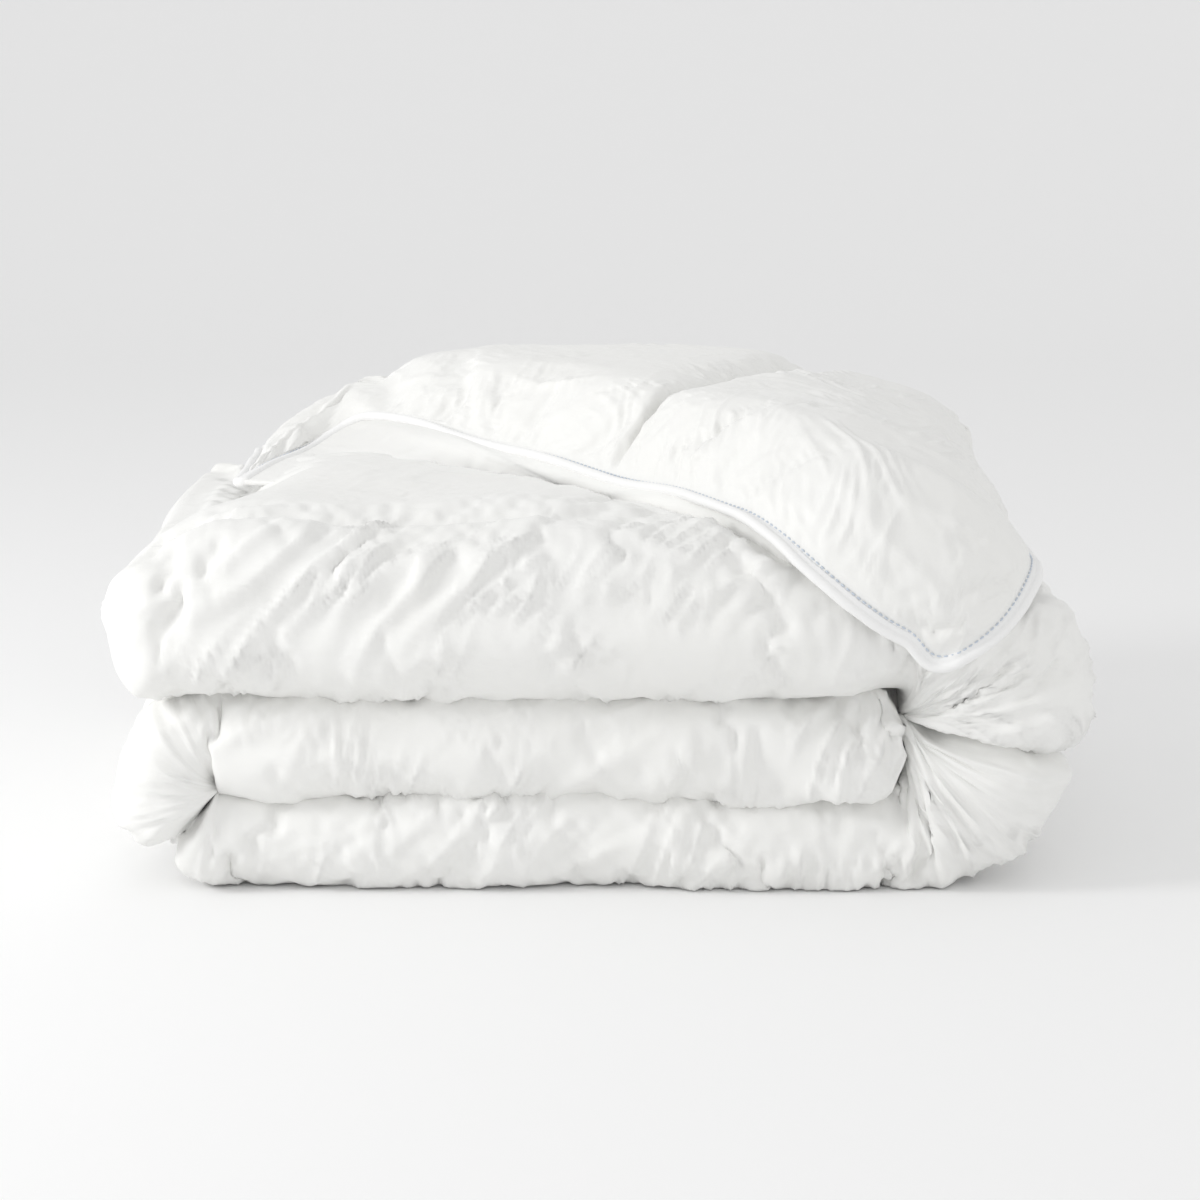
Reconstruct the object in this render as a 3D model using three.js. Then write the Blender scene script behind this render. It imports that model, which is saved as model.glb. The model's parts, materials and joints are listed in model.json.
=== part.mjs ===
// A filled duvet folded into a stack. Its strip is folded in three across the width and rolled in
// three along the length, and the outer leaf of the upper strip lies loose over the top.
// Units are millimetres and +Z is up. +X runs to the right-hand bend and -Y is the rolled front.
// The origin is on the resting surface, under the centre of the box.
import * as THREE from 'three';
import { mergeVertices } from 'three/addons/utils/BufferGeometryUtils.js';

// Driving dimensions: the stack
const stripDepth = 560;         // rolled front edge to back edge of every strip
const lowerThickness = 78;      // bottom and middle strips, pressed by what lies on them
const upperThickness = 125;     // upper strip without its loose outer leaf
const layerGap = 2;             // between one strip and the next
const plyGap = 1;               // between two leaves of one strip
const noseX = 236;              // free inner end of the middle strip
const leftBendX = -290;         // where the middle strip starts to turn down
const rightBendX = 245;         // where the bottom strip starts to turn up
const upperEndX = -376;         // free outer end of the upper strip
const openingTurn = 3.75;       // place on the strip's path where the upper strip opens

// Driving dimensions: cloth, filling and sewing
const fabric = 0.6;             // thickness of either cotton panel
const fillClearance = 0.4;      // between a panel and the filling inside it
const edgeInset = 12;           // a free edge stays this far behind the rolls
const fillInset = 3;            // filling stops short of a free edge
const pocketGap = 4;            // between two fillings, where they are quilted apart
const quiltWidth = 1;           // row of quilting thread
const crossingShare = 0.03;     // share of the leaf's half thickness kept free where rows cross
const cordRadius = 2.2;         // filler cord in the piping
const tapeClearance = 0.3;
const tapeWall = 1.2;           // bias strip wrapped round the cord
const pipingClearance = 0.4;    // piping to the edge that it is sewn to
const stitchRadius = 0.5;       // row of edge stitching
const edgeBand = 10;            // flat band of cloth inside a piped edge of the loose leaf
const stitchInset = 5;          // from the edge to the row, on that band
const stitchClearance = 1.2;    // above the band, which bends round the corner

// Driving dimensions: the loose leaf and its label
const leafLoft = 56;            // full thickness of the loose leaf
const leafCrown = 8;            // how much its middle swells above that
const leafEdge = 9;             // thickness at its piped edges
const leafSeam = 14;            // thickness on its quilting seam
const leafRest = 7;             // above the upper strip
const hingeY = 225;             // back fold of the loose leaf
const leafBackLeft = -300;
const leafBackRight = 335;
const leafFrontLeft = -235;
const leafFrontRight = 262;
const leafLeftReach = 135;      // from the back fold to the left end of the long piped edge
const leafRightReach = 585;     // from the back fold to the front corner, over the front roll
const cornerShare = 0.05;       // round corner as a share of the leaf's sides
const seamAtFront = 0.48;       // quilting seam of the leaf, as a share of the long edge
const seamAtBack = 0.66;
const labelLength = 34;         // along the edge
const labelReach = 14;          // out from the piping
const labelThickness = 0.5;
const labelPlace = 0.2;         // along the right edge, from the back fold

// Worked out from the driving dimensions
const front = -stripDepth / 2;
const bottomZ = lowerThickness / 2;
const middleZ = bottomZ + lowerThickness + layerGap;
const upperZ = middleZ + lowerThickness / 2 + layerGap + upperThickness / 2;
const leftBendRadius = (middleZ - bottomZ) / 2;
const rightBendRadius = (upperZ - bottomZ) / 2;
const tapeInner = cordRadius + tapeClearance;
const tapeOuter = tapeInner + tapeWall;
const pathEnd = 5;

// Facets and tolerances
const pathFacets = [2, 8, 2, 12, 2];  // on each stretch of the strip's path
const leafFacets = 2;                 // across each flat leaf of a folded section
const foldFacets = 6;                 // round each fold of it
const cordFacets = 3;                 // on each quarter of a round cord
const weldDistance = 1e-3;
const sameLine = 1e-6;
const probe = 0.01;                   // on the path, to measure its length
const tapeSlit = 0.88;                // share of half a turn at which the bias strip opens
const openingSlit = 0.001;            // on the path, between the two shells of panels
const sharpestTurn = 0.5;             // keeps the piping from spreading at a corner

const colours = {
  panel: [0xf6f5f1, 0.62],
  lining: [0xf1f0ec, 0.66],
  fill: [0xfffdf6, 0.95],
  piping: [0xfafafa, 0.55],
  cord: [0xe8e6df, 0.9],
  thread: [0xc9ced6, 0.6],
  label: [0xdcdbe6, 0.7],
};

const duvet = new THREE.Group();

function addMesh(name, geometry, finish) {
  const [color, roughness] = colours[finish];
  const material = new THREE.MeshStandardMaterial({ color, roughness, metalness: 0 });
  const mesh = new THREE.Mesh(geometry, material);
  mesh.name = name;
  duvet.add(mesh);
}

// Closed meshes

function signedVolume(geometry) {
  const position = geometry.attributes.position;
  const index = geometry.index.array;
  const a = new THREE.Vector3();
  const b = new THREE.Vector3();
  const c = new THREE.Vector3();
  let volume = 0;
  for (let i = 0; i < index.length; i += 3) {
    a.fromBufferAttribute(position, index[i]);
    b.fromBufferAttribute(position, index[i + 1]);
    c.fromBufferAttribute(position, index[i + 2]);
    volume += a.dot(b.cross(c)) / 6;
  }
  return volume;
}

function closedBody(geometry) {
  geometry.deleteAttribute('normal');
  geometry.deleteAttribute('uv');
  const merged = mergeVertices(geometry, weldDistance);
  if (signedVolume(merged) < 0) {
    merged.index.array.reverse();
  }
  merged.computeVertexNormals();
  return merged;
}

// Splits the quads of one face of a box along their other diagonals.
function turnDiagonals(geometry, faceGroup) {
  const { start, count } = geometry.groups[faceGroup];
  const index = geometry.index.array;
  for (let i = start; i < start + count; i += 6) {
    const [a, b, d, , c] = index.slice(i, i + 6);
    index.set([a, b, c, a, c, d], i);
  }
}

// A box whose two big faces are laid on two surfaces, with a vertex at every listed line. The two
// faces are split along opposite diagonals, unless one of them is to match the other.
const highGroup = 4;
const lowGroup = 5;

function mappedBox(acrossLines, alongLines, lowFace, highFace, turned) {
  const columns = acrossLines.length - 1;
  const rows = alongLines.length - 1;
  const geometry = new THREE.BoxGeometry(1, 1, 1, columns, rows, 1);
  if (turned) {
    turnDiagonals(geometry, turned);
  }
  const position = geometry.attributes.position;
  for (let i = 0; i < position.count; i += 1) {
    const across = acrossLines[Math.round((position.getX(i) + 0.5) * columns)];
    const along = alongLines[Math.round((position.getY(i) + 0.5) * rows)];
    const face = position.getZ(i) > 0 ? highFace : lowFace;
    const point = face(across, along);
    position.setXYZ(i, point.x, point.y, point.z);
  }
  return closedBody(geometry);
}

// A shape swept through stations, each with a centre and the shape's own two directions there.
function swept(shape, stations) {
  const steps = stations.length - 1;
  const settings = { depth: 1, steps, bevelEnabled: false, curveSegments: cordFacets };
  const geometry = new THREE.ExtrudeGeometry(shape, settings);
  const position = geometry.attributes.position;
  for (let i = 0; i < position.count; i += 1) {
    const station = stations[Math.round(position.getZ(i) * steps)];
    const point = station.centre.clone();
    point.addScaledVector(station.out, position.getX(i));
    point.addScaledVector(station.up, position.getY(i));
    position.setXYZ(i, point.x, point.y, point.z);
  }
  geometry.setIndex([...Array(position.count).keys()]);
  return closedBody(geometry);
}

// Grid lines: the two values and every listed line between them.
function linesBetween(lines, from, to) {
  const inside = lines.filter((line) => line > from + sameLine && line < to - sameLine);
  return [from, ...inside, to];
}

// A surface made of flat facets between grid lines, so that all layers share the same facets.
function faceted(surface, acrossLines, alongLines) {
  const bracket = (lines, value) => {
    let i = 0;
    while (i < lines.length - 2 && value > lines[i + 1]) {
      i += 1;
    }
    const share = (value - lines[i]) / (lines[i + 1] - lines[i]);
    return [lines[i], lines[i + 1], share];
  };
  return (across, along) => {
    const [a0, a1, fa] = bracket(acrossLines, across);
    const [b0, b1, fb] = bracket(alongLines, along);
    const low = surface(a0, b0).lerp(surface(a1, b0), fa);
    const high = surface(a0, b1).lerp(surface(a1, b1), fa);
    return low.lerp(high, fb);
  };
}

// Path of the strip in the XZ plane. Place 0 to 1 is the middle strip, 1 to 2 the left bend,
// 2 to 3 the bottom strip, 3 to 4 the right bend and 4 to 5 the upper strip.

function bendPoint(x, z, radius, angle) {
  const nx = Math.cos(angle);
  const nz = Math.sin(angle);
  return { x: x + radius * nx, z: z + radius * nz, nx, nz };
}

function stripAt(place) {
  const stretch = Math.min(Math.floor(place), pathEnd - 1);
  const share = place - stretch;
  const { lerp, smoothstep } = THREE.MathUtils;
  const grown = smoothstep(place, 3, 4);
  const half = lerp(lowerThickness, upperThickness, grown) / 2;
  const bendZ = (middleZ + bottomZ) / 2;
  const upperBendZ = (upperZ + bottomZ) / 2;
  const stretches = [
    () => ({ x: lerp(noseX, leftBendX, share), z: middleZ, nx: 0, nz: 1 }),
    () => bendPoint(leftBendX, bendZ, leftBendRadius, Math.PI * (0.5 + share)),
    () => ({ x: lerp(leftBendX, rightBendX, share), z: bottomZ, nx: 0, nz: -1 }),
    () => bendPoint(rightBendX, upperBendZ, rightBendRadius, Math.PI * (share - 0.5)),
    () => ({ x: lerp(rightBendX, upperEndX, share), z: upperZ, nx: 0, nz: 1 }),
  ];
  return { ...stretches[stretch](), half };
}

function pathLines() {
  const lines = [0];
  pathFacets.forEach((count, stretch) => {
    for (let k = 1; k <= count; k += 1) {
      lines.push(stretch + k / count);
    }
  });
  return lines;
}

// Folded section in the plane across the strip. Leaf 0 is the outermost. Even stretches of the
// section are leaves and odd ones are the half-round folds between them.

const baseFold = { leaves: 3, heading: 1, startInset: edgeInset, endInset: edgeInset };
const upperFold = { leaves: 2, heading: -1, startInset: edgeInset, endInset: edgeInset };

function leafThickness(fold, half) {
  return (2 * half - (fold.leaves - 1) * plyGap) / fold.leaves;
}

function sectionAt(fold, section, half, offset) {
  const thickness = leafThickness(fold, half);
  const pitch = thickness + plyGap;
  const turnInset = pitch / 2 + thickness / 2;
  const stretch = Math.min(Math.floor(section), 2 * fold.leaves - 2);
  const share = section - stretch;
  const leaf = Math.floor(stretch / 2);
  const side = leaf % 2 === 0 ? 1 : -1;
  const heading = side * fold.heading;
  const leafW = half - thickness / 2 - leaf * pitch;
  const startInset = leaf === 0 ? fold.startInset : turnInset;
  const endInset = leaf === fold.leaves - 1 ? fold.endInset : turnInset;
  const endY = heading * (stripDepth / 2 - endInset);
  if (stretch % 2 === 0) {
    const startY = -heading * (stripDepth / 2 - startInset);
    return { y: THREE.MathUtils.lerp(startY, endY, share), w: leafW + side * offset };
  }
  const radius = pitch / 2 + side * offset;
  const angle = Math.PI * share;
  const w = leafW - pitch / 2 + radius * Math.cos(angle);
  return { y: endY + heading * radius * Math.sin(angle), w };
}

function sectionLines(fold) {
  const lines = [0];
  for (let stretch = 0; stretch < 2 * fold.leaves - 1; stretch += 1) {
    const count = stretch % 2 === 0 ? leafFacets : foldFacets;
    for (let k = 1; k <= count; k += 1) {
      lines.push(stretch + k / count);
    }
  }
  return lines;
}

// A point of the folded strip. Side is +1 for the outer panel of leaf 0, depth is measured in
// from that panel's outside.
function stripPoint(fold, section, place, side, depth) {
  const strip = stripAt(place);
  const offset = side * (leafThickness(fold, strip.half) / 2 - depth);
  const { y, w } = sectionAt(fold, section, strip.half, offset);
  return new THREE.Vector3(strip.x + strip.nx * w, y, strip.z + strip.nz * w);
}

function stripSurface(fold, side, depth) {
  const surface = (section, place) => stripPoint(fold, section, place, side, depth);
  return faceted(surface, sectionLines(fold), pathLines());
}

function millimetresPerPlace(place) {
  const a = stripAt(Math.max(0, place - probe));
  const b = stripAt(Math.min(pathEnd, place + probe));
  return Math.hypot(a.x - b.x, a.z - b.z) / (2 * probe);
}

// One panel, filling or quilting row of the folded strip.
function stripLayer(fold, sections, places, lowSide, lowDepth, highSide, highDepth, turned) {
  const across = linesBetween(sectionLines(fold), sections[0], sections[1]);
  const along = linesBetween(pathLines(), places[0], places[1]);
  const low = stripSurface(fold, lowSide, lowDepth);
  const high = stripSurface(fold, highSide, highDepth);
  return mappedBox(across, along, low, high, turned);
}

function addStripPanels(name, fold, places, outerName, innerName) {
  const sections = [0, 2 * fold.leaves - 1];
  const outer = stripLayer(fold, sections, places, 1, fabric, 1, 0, highGroup);
  const inner = stripLayer(fold, sections, places, -1, 0, -1, fabric, lowGroup);
  addMesh(`${name}_${outerName}_panel`, outer, outerName === 'lining' ? 'lining' : 'panel');
  addMesh(`${name}_${innerName}_panel`, inner, innerName === 'lining' ? 'lining' : 'panel');
}

function shrunk(limits, index, gap, edge, scale) {
  const low = limits[index] + (index === 0 ? edge : gap / 2) / scale(limits[index]);
  const last = index + 2 === limits.length;
  const high = limits[index + 1] - (last ? edge : gap / 2) / scale(limits[index + 1]);
  return [low, high];
}

function addStripFillings(fold, rows, columns) {
  const depth = fabric + fillClearance;
  const sectionScale = () => stripDepth - lowerThickness;
  rows.names.forEach((rowName, r) => {
    columns.names.forEach((columnName, c) => {
      const sections = shrunk(rows.limits, r, pocketGap, fillInset, sectionScale);
      const places = shrunk(columns.limits, c, pocketGap, fillInset, millimetresPerPlace);
      const filling = stripLayer(fold, sections, places, 1, depth, -1, depth);
      addMesh(`${columnName}_${rowName}_filling`, filling, 'fill');
    });
  });
}

// Rows of quilting thread stand in the gaps between the fillings. Long rows keep to the outer
// half of the leaf and cross rows to the inner half, so they pass each other.
function addStripQuilting(name, fold, rows, columns) {
  const depth = fabric + fillClearance;
  const places = [columns.limits[0], columns.limits.at(-1)];
  const sections = [rows.limits[0], rows.limits.at(-1)];
  rows.limits.slice(1, -1).forEach((section, k) => {
    const reach = quiltWidth / 2 / (stripDepth - lowerThickness);
    const ends = [section - reach, section + reach];
    const row = stripLayer(fold, ends, places, 1, depth, crossingShare, depth);
    addMesh(`${name}_long_quilting_${k + 1}`, row, 'thread');
  });
  columns.limits.slice(1, -1).forEach((place, k) => {
    const reach = quiltWidth / 2 / millimetresPerPlace(place);
    const ends = [place - reach, place + reach];
    const row = stripLayer(fold, sections, ends, -crossingShare, depth, -1, depth);
    addMesh(`${name}_cross_quilting_${k + 1}`, row, 'thread');
  });
}

// Piping: a filler cord inside a bias strip that is open towards the edge it is sewn to.

function cordShape() {
  const shape = new THREE.Shape();
  shape.absarc(0, 0, cordRadius, 0, 2 * Math.PI, false);
  return shape;
}

function tapeShape() {
  const slit = Math.PI * tapeSlit;
  const shape = new THREE.Shape();
  shape.absarc(0, 0, tapeOuter, -slit, slit, false);
  shape.absarc(0, 0, tapeInner, slit, -slit, true);
  return shape;
}

function addPiping(name, stations) {
  addMesh(`${name}_piping_cord`, swept(cordShape(), stations), 'cord');
  addMesh(`${name}_piping_tape`, swept(tapeShape(), stations), 'piping');
}

// A station of the piping, out from the edge by the size of the piping.
function stripEdgeStation(fold, section, place, outs) {
  const low = stripPoint(fold, section, place, -1, 0);
  const high = stripPoint(fold, section, place, 1, 0);
  const out = new THREE.Vector3();
  outs.forEach((direction) => out.add(direction));
  const centre = low.clone().lerp(high, 0.5);
  centre.addScaledVector(out, tapeOuter + pipingClearance);
  const up = high.sub(low).normalize();
  return { centre, out, up };
}

function basePipingStations() {
  const lastSection = 2 * baseFold.leaves - 1;
  const forward = new THREE.Vector3(0, -1, 0);
  const backward = new THREE.Vector3(0, 1, 0);
  const right = new THREE.Vector3(1, 0, 0);
  const places = linesBetween(pathLines(), 0, openingTurn).slice(1);
  const sections = sectionLines(baseFold).slice(1, -1);
  return [
    ...places.toReversed().map((p) => stripEdgeStation(baseFold, 0, p, [forward])),
    stripEdgeStation(baseFold, 0, 0, [forward, right]),
    ...sections.map((s) => stripEdgeStation(baseFold, s, 0, [right])),
    stripEdgeStation(baseFold, lastSection, 0, [backward, right]),
    ...places.map((p) => stripEdgeStation(baseFold, lastSection, p, [backward])),
  ];
}

function upperPipingStations() {
  const lastSection = 2 * upperFold.leaves - 1;
  const backward = new THREE.Vector3(0, 1, 0);
  const left = new THREE.Vector3(-1, 0, 0);
  const places = linesBetween(pathLines(), openingTurn, pathEnd).slice(0, -1);
  const sections = sectionLines(upperFold).slice(0, -1).toReversed();
  return [
    ...places.map((p) => stripEdgeStation(upperFold, lastSection, p, [backward])),
    stripEdgeStation(upperFold, lastSection, pathEnd, [backward, left]),
    ...sections.map((s) => stripEdgeStation(upperFold, s, pathEnd, [left])),
  ];
}

// The loose leaf follows the outside of the upper strip: X along the strip, and reach from the
// back fold forward over the top, round the front roll and straight down.

function overUpperStrip(x, reach, height) {
  const beyond = Math.max(0, x - rightBendX);
  const outerRadius = rightBendRadius + upperThickness / 2;
  const place = 4 - beyond / outerRadius / Math.PI;
  const strip = stripAt(place);
  const stripX = beyond > 0 ? strip.x : x;
  const rollY = front + strip.half;
  const flat = hingeY - rollY;
  const radius = strip.half + height;
  const quarter = (Math.PI / 2) * (strip.half + leafRest);
  let y = hingeY - reach;
  let w = radius;
  if (reach > flat) {
    const angle = Math.min(1, (reach - flat) / quarter) * (Math.PI / 2);
    y = rollY - radius * Math.sin(angle);
    w = radius * Math.cos(angle) - Math.max(0, reach - flat - quarter);
  }
  return new THREE.Vector3(stripX + strip.nx * w, y, strip.z + strip.nz * w);
}

// Grid lines of the leaf: close together at its edges, its seam and where it bends.
const leafWidth = leafFrontRight - leafFrontLeft;
const leafDepth = (leafLeftReach + leafRightReach) / 2;
const leafFillInset = fillInset / leafWidth;
const leafFillGap = pocketGap / 2 / leafWidth;
const bandAcross = edgeBand / leafWidth;
const bandAlong = edgeBand / leafDepth;
const leafAcross = [
  0, leafFillInset, bandAcross, 0.045, 0.08, 0.15, 0.28, 0.4, 0.46, 0.5 - leafFillGap,
  0.5 + leafFillGap, 0.54, 0.6, 0.66, 0.72, 0.78, 0.84, 0.9, 0.95, 1 - bandAcross,
  1 - leafFillInset, 1,
];
const leafAlong = [
  0, 0.1, 0.2, 0.3, 0.4, 0.48, 0.54, 0.6, 0.65, 0.7, 0.75, 0.8, 0.85, 0.9, 0.94, 1 - bandAlong,
  1 - leafFillInset, 1,
];

function roundCorner(across, along) {
  const a = Math.max(0, across - (1 - cornerShare)) / cornerShare;
  const b = Math.max(0, along - (1 - cornerShare)) / cornerShare;
  if (a === 0 || b === 0) {
    return [across, along];
  }
  const pull = Math.max(a, b) / Math.hypot(a, b);
  return [1 - cornerShare + a * pull * cornerShare, 1 - cornerShare + b * pull * cornerShare];
}

function leafPlan(across, along) {
  const { lerp } = THREE.MathUtils;
  const [a, b] = roundCorner(across, along);
  const seam = lerp(seamAtBack, seamAtFront, b);
  const shift = a < 0.5 ? (a / 0.5) * seam : seam + ((a - 0.5) / 0.5) * (1 - seam);
  const x = lerp(lerp(leafBackLeft, leafBackRight, shift), lerp(leafFrontLeft, leafFrontRight, shift), b);
  const reach = b * lerp(leafLeftReach, leafRightReach, shift);
  return [x, reach];
}

function swell(distance, full) {
  const short = 1 - Math.min(1, distance / full);
  return Math.sqrt(1 - short * short);
}

function leafThicknessAt(across, along) {
  const toSide = Math.min(across, 1 - across) * leafWidth;
  const toEdge = Math.max(0, Math.min(toSide, (1 - along) * leafDepth) - edgeBand);
  const toSeam = Math.max(0, Math.abs(across - 0.5) - leafFillGap) * leafWidth;
  const crown = leafCrown * Math.sin(Math.PI * across) * Math.sin(Math.PI * along);
  const full = leafLoft + crown;
  const atSeam = leafSeam + (full - leafSeam) * swell(toSeam, leafLoft);
  return leafEdge + (atSeam - leafEdge) * swell(toEdge, leafLoft);
}

function leafPoint(across, along, share, depth) {
  const [x, reach] = leafPlan(across, along);
  const thickness = leafThicknessAt(across, along);
  const inward = share > 0.5 ? -depth : depth;
  return overUpperStrip(x, reach, leafRest + share * thickness + inward);
}

function leafSurface(share, depth) {
  const surface = (across, along) => leafPoint(across, along, share, depth);
  return faceted(surface, leafAcross, leafAlong);
}

function leafLayer(acrossEnds, alongEnds, lowShare, lowDepth, highShare, highDepth, turned) {
  const across = linesBetween(leafAcross, acrossEnds[0], acrossEnds[1]);
  const along = linesBetween(leafAlong, alongEnds[0], alongEnds[1]);
  const low = leafSurface(lowShare, lowDepth);
  const high = leafSurface(highShare, highDepth);
  return mappedBox(across, along, low, high, turned);
}

function addLooseLeaf() {
  const depth = fabric + fillClearance;
  const inset = leafFillInset;
  const gap = leafFillGap;
  const thread = quiltWidth / 2 / leafWidth;
  const lining = leafLayer([0, 1], [0, 1], 0, 0, 0, fabric, lowGroup);
  const face = leafLayer([0, 1], [0, 1], 1, fabric, 1, 0, highGroup);
  addMesh('leaf_lining_panel', lining, 'lining');
  addMesh('leaf_face_panel', face, 'panel');
  const left = leafLayer([inset, 0.5 - gap], [0, 1 - inset], 1, depth, 0, depth);
  const right = leafLayer([0.5 + gap, 1 - inset], [0, 1 - inset], 1, depth, 0, depth);
  addMesh('leaf_left_filling', left, 'fill');
  addMesh('leaf_right_filling', right, 'fill');
  const seam = leafLayer([0.5 - thread, 0.5 + thread], [0, 1 - inset], 1, depth, 0, depth);
  addMesh('leaf_cross_quilting', seam, 'thread');
  addPiping('leaf', leafEdgeRoute().map(leafPipingStation));
  const row = new THREE.Shape();
  row.absarc(0, 0, stitchRadius, 0, 2 * Math.PI, false);
  addMesh('leaf_edge_stitching', swept(row, leafEdgeRoute().map(stitchStation)), 'thread');
}

// Route along the left edge from the back fold, the long edge and the right edge to the fold.
function leafEdgeRoute() {
  const left = leafAlong.slice(0, -1).map((b) => [0, b]);
  const long = leafAcross.map((a) => [a, 1]);
  const right = leafAlong.slice(0, -1).toReversed().map((b) => [1, b]);
  return [...left, ...long, ...right];
}

// Directions at an edge point: out of the leaf, and up from its surface.
function leafEdgeFrame(across, along) {
  const route = leafEdgeRoute();
  const k = route.findIndex(([a, b]) => a === across && b === along);
  const middle = ([a, b]) => leafPoint(a, b, 0.5, 0);
  const here = middle(route[k]);
  const from = middle(route[Math.max(0, k - 1)]);
  const to = middle(route[Math.min(route.length - 1, k + 1)]);
  const arriving = here.clone().sub(from).normalize();
  const leaving = to.clone().sub(here).normalize();
  const tangent = arriving.clone().add(leaving).normalize();
  const low = leafPoint(across, along, 0, 0);
  const high = leafPoint(across, along, 1, 0);
  const up = high.sub(low).normalize();
  const turn = Math.max(sharpestTurn, tangent.dot(k === 0 ? leaving : arriving));
  const out = tangent.cross(up).normalize().divideScalar(turn);
  return { here, out, up };
}

function leafPipingStation([across, along]) {
  const frame = leafEdgeFrame(across, along);
  const centre = frame.here.clone();
  centre.addScaledVector(frame.out, tapeOuter + pipingClearance);
  return { centre, out: frame.out, up: frame.up };
}

// The row of stitches lies on the flat band inside the piping.
function stitchStation([across, along]) {
  const frame = leafEdgeFrame(across, along);
  const side = stitchInset / leafWidth;
  const a = THREE.MathUtils.clamp(across, side, 1 - side);
  const b = Math.min(along, 1 - stitchInset / leafDepth);
  const centre = leafSurface(1, 0)(a, b);
  centre.addScaledVector(frame.up, stitchRadius + stitchClearance);
  return { centre, out: frame.out, up: frame.up };
}

// A blank care label sewn under the right edge of the loose leaf. It stands out from the piping.
function addCareLabel() {
  const along = leafAlong.reduce((best, line) => (
    Math.abs(line - labelPlace) < Math.abs(best - labelPlace) ? line : best));
  const frame = leafEdgeFrame(1, along);
  const geometry = new THREE.BoxGeometry(labelReach, labelLength, labelThickness, 1, 1, 1);
  const out = frame.out.clone().normalize();
  const side = frame.up.clone().cross(out).normalize();
  const start = tapeOuter * 2 + pipingClearance * 2;
  const centre = frame.here.clone().addScaledVector(out, start + labelReach / 2);
  const place = new THREE.Matrix4().makeBasis(out, side, frame.up);
  place.setPosition(centre);
  geometry.applyMatrix4(place);
  addMesh('care_label', closedBody(geometry), 'label');
}

const baseRows = { limits: [0, 1.5, 2.85, 5], names: ['outer', 'back', 'inner'] };
const baseColumns = {
  limits: [0, 0.5, 1.5, 2.5, openingTurn],
  names: ['nose', 'middle', 'bottom', 'right_bend'],
};
const upperRows = { limits: [0, 0.85, 2.15, 3], names: ['top', 'front', 'under'] };
const upperColumns = { limits: [openingTurn, 4.5, pathEnd], names: ['upper_right', 'upper_left'] };

addStripPanels('base', baseFold, [0, openingTurn], 'face', 'lining');
addStripFillings(baseFold, baseRows, baseColumns);
addStripQuilting('base', baseFold, baseRows, baseColumns);
addPiping('base', basePipingStations());
addStripPanels('upper', upperFold, [openingTurn + openingSlit, pathEnd], 'lining', 'face');
addStripFillings(upperFold, upperRows, upperColumns);
addStripQuilting('upper', upperFold, upperRows, upperColumns);
addPiping('upper', upperPipingStations());
addLooseLeaf();
addCareLabel();

// Stand the duvet on its resting face with the box centred over the origin.
const box = new THREE.Box3().setFromObject(duvet);
const centre = box.getCenter(new THREE.Vector3());
duvet.position.set(-centre.x, -centre.y, -box.min.z);

export default duvet;
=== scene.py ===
import json
import math

import bpy
import numpy as np
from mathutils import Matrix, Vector


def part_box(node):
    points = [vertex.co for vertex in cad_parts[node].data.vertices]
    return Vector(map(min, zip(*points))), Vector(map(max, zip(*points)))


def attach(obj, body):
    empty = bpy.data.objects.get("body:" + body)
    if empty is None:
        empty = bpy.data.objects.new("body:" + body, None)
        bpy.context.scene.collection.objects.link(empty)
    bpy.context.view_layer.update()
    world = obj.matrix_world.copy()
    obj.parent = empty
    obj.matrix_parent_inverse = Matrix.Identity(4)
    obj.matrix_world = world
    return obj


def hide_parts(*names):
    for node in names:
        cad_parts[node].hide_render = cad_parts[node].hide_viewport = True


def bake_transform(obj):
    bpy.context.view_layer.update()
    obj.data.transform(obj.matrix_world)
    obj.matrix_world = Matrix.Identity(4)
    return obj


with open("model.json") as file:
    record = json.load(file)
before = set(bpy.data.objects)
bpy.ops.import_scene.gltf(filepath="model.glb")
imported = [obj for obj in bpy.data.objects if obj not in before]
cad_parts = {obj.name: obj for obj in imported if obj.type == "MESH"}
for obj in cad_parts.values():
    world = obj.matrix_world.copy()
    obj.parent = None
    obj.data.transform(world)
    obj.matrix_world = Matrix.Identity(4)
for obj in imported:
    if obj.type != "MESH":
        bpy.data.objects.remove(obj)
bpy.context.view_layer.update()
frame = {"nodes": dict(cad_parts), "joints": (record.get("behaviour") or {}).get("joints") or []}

scene = bpy.context.scene
joints = {j["name"]: j for j in frame["joints"]}


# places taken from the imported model
def boxOf(node):
    low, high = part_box(node)
    return np.array(low), np.array(high)


faceLow, faceHigh = boxOf("base_face_panel")
upperLow, upperHigh = boxOf("upper_lining_panel")
underLow = boxOf("upper_left_under_filling")[0]
noseHigh = boxOf("nose_outer_filling")[1]
labelLow, labelHigh = boxOf("care_label")
foldAxis = np.array(joints["leaf_turn"]["pos_m"])

layerGap = 0.002
skin = 0.001                                    # a filling lies this far inside its leaf
endTip = 0.0008                                 # a strip's closed end starts this far along its rise
frontY = boxOf("base_lining_panel")[0][1]       # rolled front of every strip
backY = faceHigh[1]
lowerThick = (underLow[2] - skin - 2 * layerGap) / 2
upperTop = upperHigh[2]
upperThick = upperTop - (underLow[2] - skin)
bottomZ = lowerThick / 2
middleZ = bottomZ + lowerThick + layerGap
upperZ = upperTop - upperThick / 2
leftBendR = (middleZ - bottomZ) / 2
rightBendR = (upperZ - bottomZ) / 2
leftBendX = faceLow[0] + leftBendR + lowerThick / 2
rightBendX = noseHigh[0] + 0.012
noseX = noseHigh[0] + 0.014
upperEndX = upperLow[0]
print("frame read, strips", round(lowerThick * 1000), "and", round(upperThick * 1000), "mm thick")


# small number helpers
def smooth(a, b, x):
    t = np.clip((np.asarray(x, float) - a) / (b - a), 0, 1)
    return t * t * (3 - 2 * t)


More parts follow.
